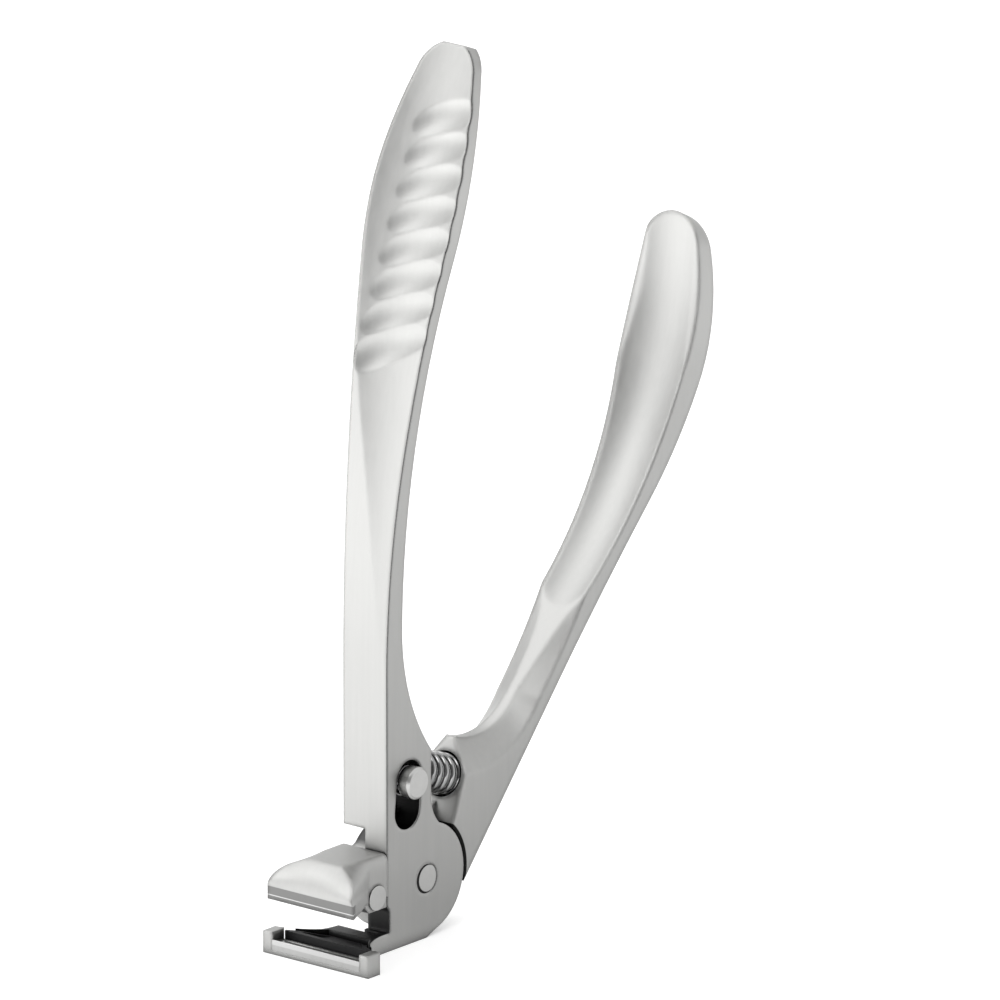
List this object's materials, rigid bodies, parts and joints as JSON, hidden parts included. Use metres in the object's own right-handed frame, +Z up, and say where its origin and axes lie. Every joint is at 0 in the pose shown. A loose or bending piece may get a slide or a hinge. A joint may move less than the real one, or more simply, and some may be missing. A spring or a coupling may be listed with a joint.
{
  "type": "toenail clipper",
  "caption": "Plier-type toenail clipper with an angled head, a hooded upper jaw, half-lapped levers, a return coil spring and a slide lock.",
  "frame": {"origin": "middle of the underside of the part's own box", "axes": "+Z up along the fixed lever, +X from the jaws toward the squeeze lever, +Y from the cheek with the lock button toward the far face; the hinge axis runs along Y"},
  "size_m": [0.0854, 0.0198, 0.1316],
  "materials": {
    "satin_metal": "satin, fine grain",
    "rivet_metal": "satin, slightly brighter than the levers",
    "blade_metal": "fine ground",
    "spring_metal": "polished",
    "black_liner": "matt black"
  },
  "bodies": {
    "frame": {"fixed_lever": "satin_metal", "lower_blade": "blade_metal", "catch_liner": "black_liner", "pivot_rivet": "rivet_metal", "return_spring": "spring_metal"},
    "lever": {"squeeze_lever": "satin_metal", "upper_jaw": "satin_metal", "jaw_rivet": "rivet_metal"},
    "lock": {"lock_button": "rivet_metal", "lock_spring": "spring_metal", "lock_retainer": "satin_metal"}
  },
  "joints": [
    {"name": "lever_squeeze", "type": "hinge", "parent": "frame", "child": "lever", "pos_m": [-0.02128, 0, 0.009], "axis": [0, -1, 0], "range_deg": [0, 17.3], "stiffness_Nm_per_rad": 1, "springref_deg": -8.59, "deforming": ["return_spring"]},
    {"name": "lock_slide", "type": "slide", "parent": "frame", "child": "lock", "axis": [-0.0941, 0, -0.9956], "range_m": [0, 0.0046]}
  ]
}
